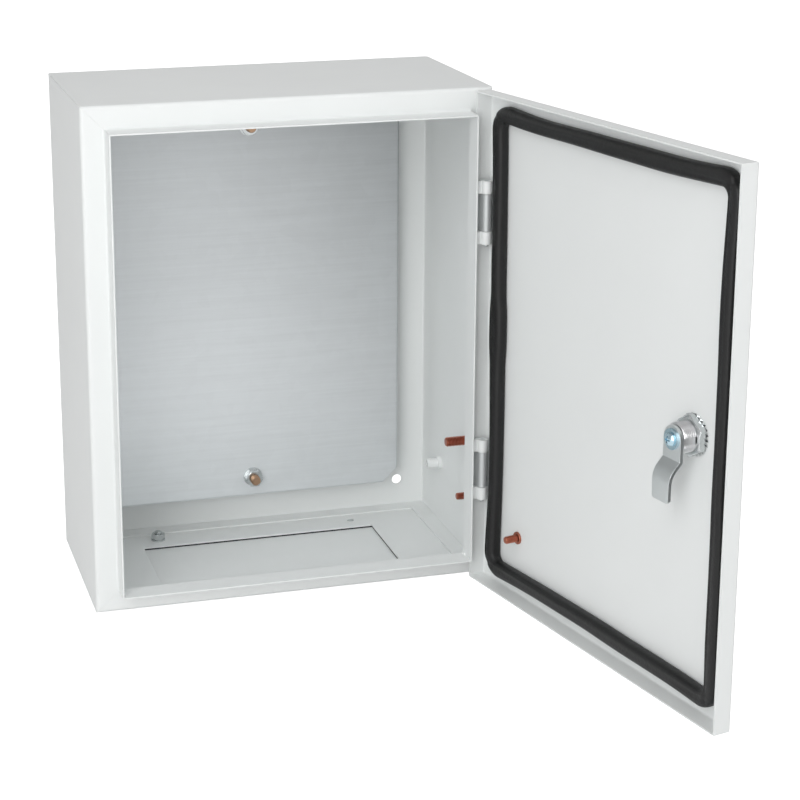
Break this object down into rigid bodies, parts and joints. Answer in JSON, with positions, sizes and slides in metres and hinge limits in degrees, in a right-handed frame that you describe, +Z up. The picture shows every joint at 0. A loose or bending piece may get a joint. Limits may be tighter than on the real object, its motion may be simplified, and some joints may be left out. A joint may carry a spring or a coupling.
{
  "type": "wall enclosure",
  "caption": "Painted steel wall enclosure with hinged door, cam lock, foam door seal, galvanised mounting plate, earth studs and gland plate.",
  "frame": {"origin": "centre of the wall-bolt pattern on the rear face", "axes": "+Z up, +Y into the wall, -Y out of the cabinet's front, +X towards the hinge side"},
  "size_m": [0.3869, 0.4845, 0.406],
  "materials": {
    "powder_coat": "fine textured light grey powder coat",
    "galvanised_sheet": "matt galvanised sheet",
    "zinc_plate": "bright zinc plate",
    "plated_casting": "polished nickel plate",
    "copper_plate": "copper flash",
    "foam_seal": "foamed polyurethane skin"
  },
  "bodies": {
    "cabinet": {"body_wrap": "powder_coat", "top_panel": "powder_coat", "bottom_panel": "powder_coat", "mounting_plate": "galvanised_sheet", "plate_studs": "copper_plate", "plate_spacers": "zinc_plate", "plate_washers": "zinc_plate", "plate_nuts": "zinc_plate", "earth_stud_large": "copper_plate", "earth_stud_small": "copper_plate", "threaded_boss": "powder_coat", "gland_plate": "powder_coat", "gland_gasket": "foam_seal", "gland_screws": "zinc_plate", "gland_washer": "zinc_plate", "gland_nut": "zinc_plate", "hinge_knuckles_upper": "powder_coat", "hinge_knuckles_lower": "powder_coat", "hinge_pin_upper": "zinc_plate", "hinge_pin_lower": "zinc_plate"},
    "door": {"hinge_leaf_upper": "zinc_plate", "hinge_leaf_lower": "zinc_plate", "door_pan": "powder_coat", "door_gasket": "foam_seal", "door_earth_stud": "copper_plate", "lock_housing": "plated_casting", "lock_seal": "foam_seal", "lock_toothed_washer": "zinc_plate", "lock_nut": "zinc_plate"},
    "lock": {"lock_core": "plated_casting", "lock_cam": "zinc_plate", "cam_washer": "zinc_plate", "cam_screw": "zinc_plate"}
  },
  "joints": [
    {"name": "door_hinge", "type": "hinge", "parent": "cabinet", "child": "door", "pos_m": [0.151, -0.1801, 0], "axis": [0, 0, 1], "range_deg": [-102.5, 7.5]},
    {"name": "lock_turn", "type": "hinge", "parent": "door", "child": "lock", "pos_m": [0.21474, -0.42972, 0], "axis": [-0.9763, -0.2164, 0], "range_deg": [0, 90]}
  ]
}
